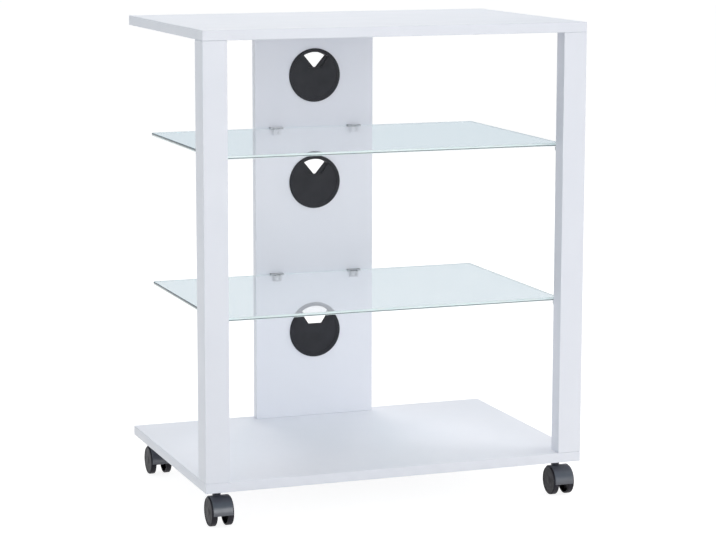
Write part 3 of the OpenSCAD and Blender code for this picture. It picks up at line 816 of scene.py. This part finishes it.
# %% [markdown]
# ## Casters
# A twin-wheel caster has a hood over two wheels, with a web between them that holds the axle. Seen along
# the axle the hood is a thin arc, and seen from the front it is a T, the web with a flange over both
# wheels. So the T is drawn once and spun through the hood's angle. The hub and the neck are joined on as
# cylinders.

# %% Draw the hood and spin it
def spin_hood(name, hub):
    """The T of web and flange, spun round the axle, whose middle is at hub."""
    half_web, half_flange = 7.9 * mm, 15 * mm
    half_top = half_flange - 0.4 * mm
    web_foot, flange_under, shoulder, flange_over = 3 * mm, 22.5 * mm, 22.9 * mm, 23.3 * mm
    from_angle, through_angle, steps = math.radians(-6), math.radians(166), 48

    right_half = [(half_web, web_foot), (half_web, flange_under), (half_flange, flange_under),
                  (half_flange, shoulder), (half_top, flange_over)]
    left_half = [(-x, r) for x, r in reversed(right_half)]
    outline = left_half[-1:] + right_half + left_half[:-1]
    outwards = Vector((0, -math.cos(from_angle), math.sin(from_angle)))
    hood = draw_outline(name, [hub + Vector((x, 0, 0)) + outwards * r for x, r in outline])
    spin_solid(hood, steps, through_angle, hub, (1, 0, 0))
    return hood


# %% Join the hub and the neck, and drill the bores
def upright_rod(name, stem, low, high, radius, sides):
    """A cylinder round the upright line through stem, from one height to another."""
    middle = Vector((stem.x, stem.y, (low + high) / 2))
    return rod(name, middle, radius, high - low, "z", sides)


def make_hood(name, hub, stem):
    """A whole hood, with its neck round the upright line through stem."""
    hub_radius, hub_length, axle_bore = 9 * mm, 15.8 * mm, 2.55 * mm
    neck_low, neck_high, neck_radius = 21.1 * mm, 52.1 * mm, 6.25 * mm
    stem_low, over_neck, stem_bore = 26.1 * mm, 60 * mm, 4.05 * mm

    hood = spin_hood(name, hub)
    combine(hood, rod("hub", hub, hub_radius, hub_length, "x", 64), "UNION")
    combine(hood, upright_rod("neck", stem, neck_low, neck_high, neck_radius, 64), "UNION")
    combine(hood, rod("axle_bore", hub, axle_bore, right_through, "x", 48), "DIFFERENCE")
    combine(hood, upright_rod("stem_bore", stem, stem_low, over_neck, stem_bore, 48), "DIFFERENCE")
    soften(hood, width=0.35 * mm)
    return hood


# %% Model one hood and copy it to all corners
corners = ["front_left", "front_right", "rear_left", "rear_right"]
hubs = {corner: box_centre("axle_" + corner) for corner in corners}
start = corners[0]
hood = make_hood("hood_" + start + "_moulded", hubs[start], box_centre("stem_" + start))
for corner in corners[1:]:
    twin = copy_to(hood, "hood_" + corner + "_moulded", hubs[corner] - hubs[start])
    dress(twin, hood_plastic, "swivel_" + corner, "hood_" + corner)
dress(hood, hood_plastic, "swivel_" + start, "hood_" + start)

# %% [markdown]
# A wheel is turned from one section: a tread with round shoulders, an outer face that is sunk a little
# inside its rim, a hub with a blind bore and an open back. A plain cylinder would miss all of these. The
# two wheels of a caster are the same piece, and the one on the left is turned round.

# %% Turn one wheel
side_gap = 8.2  # from the middle of the axle, in millimetres like the section
wheel_section = [
    (0, 7.1), (2.55, 7.1), (2.55, 0), (5, 0),                        # the blind bore and the hub
    (5, 6.4), (19.6, 6.4), (19.6, 0),                                # the open back
    (21.3, 0), (21.8, 0.2), (22, 0.7), (22, 7.0),                    # the inner shoulder and the tread
    (21.75, 7.9), (21.2, 8.5), (20.3, 8.8), (19.2, 8.8),             # the outer shoulder
    (18.9, 8.35), (6.5, 8.35), (6.1, 8.7), (2.6, 8.8), (0, 8.8),     # the sunk face and the middle
]
beside_hub = [(r, side_gap + d) for r, d in wheel_section]
wheel = turned("wheel_pattern", beside_hub, hubs[start], axis=(1, 0, 0), steps=72)
soften(wheel, width=0.2 * mm, sharper_than=40)
print("wheel", len(wheel.data.polygons), "faces")

# %% Copy the wheel to both sides of every caster
for corner in corners:
    for side in ["outer", "inner"]:
        node, body = "wheel_%s_%s" % (side, corner), "%s_roller_%s" % (side, corner)
        twin = copy_to(wheel, node + "_turned", hubs[corner] - hubs[start])
        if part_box(node)[0].x < hubs[corner].x:
            edit_all(twin)
            bpy.ops.transform.rotate(value=math.pi, orient_axis="Z", center_override=hubs[corner])
            bpy.ops.object.mode_set(mode="OBJECT")
        dress(twin, wheel_plastic, body, node)
bpy.data.objects.remove(wheel)

# %% [markdown]
# ## Small pieces
# The pins, screws, cams, shutters and other small pieces already have their true shape in the model. To
# model them again would gain nothing. They only need a finish, which goes into the material slot that each
# one brings along.

# %% Finish the pieces that stay as they are
kept = {
    "dowels": beech, "cam_bolts": zinc_plate, "cam_discs": cast_zinc, "clip_pads": soft_pad,
    "clip_screws": zinc_plate, "shelf_pins": zinc_plate, "pin_sleeves": clear_sleeve,
    "port_washers": zinc_plate, "caster_sockets": black_plastic,
}
for place in levels:
    kept["port_shutter_" + place] = black_plastic
for corner in corners:
    kept["stem_" + corner] = zinc_plate
    kept["axle_" + corner] = zinc_plate

for node, finish in kept.items():
    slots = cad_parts[node].data.materials
    if not slots:
        slots.append(finish)
    for i in range(len(slots)):
        slots[i] = finish
print("kept", len(kept), "pieces of the model")

# %% [markdown]
# ## Size of the dressed stand
# The dressed stand has to keep the size of the measured model, so the box round its shown pieces is worked
# out.

start_clean()
low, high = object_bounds()
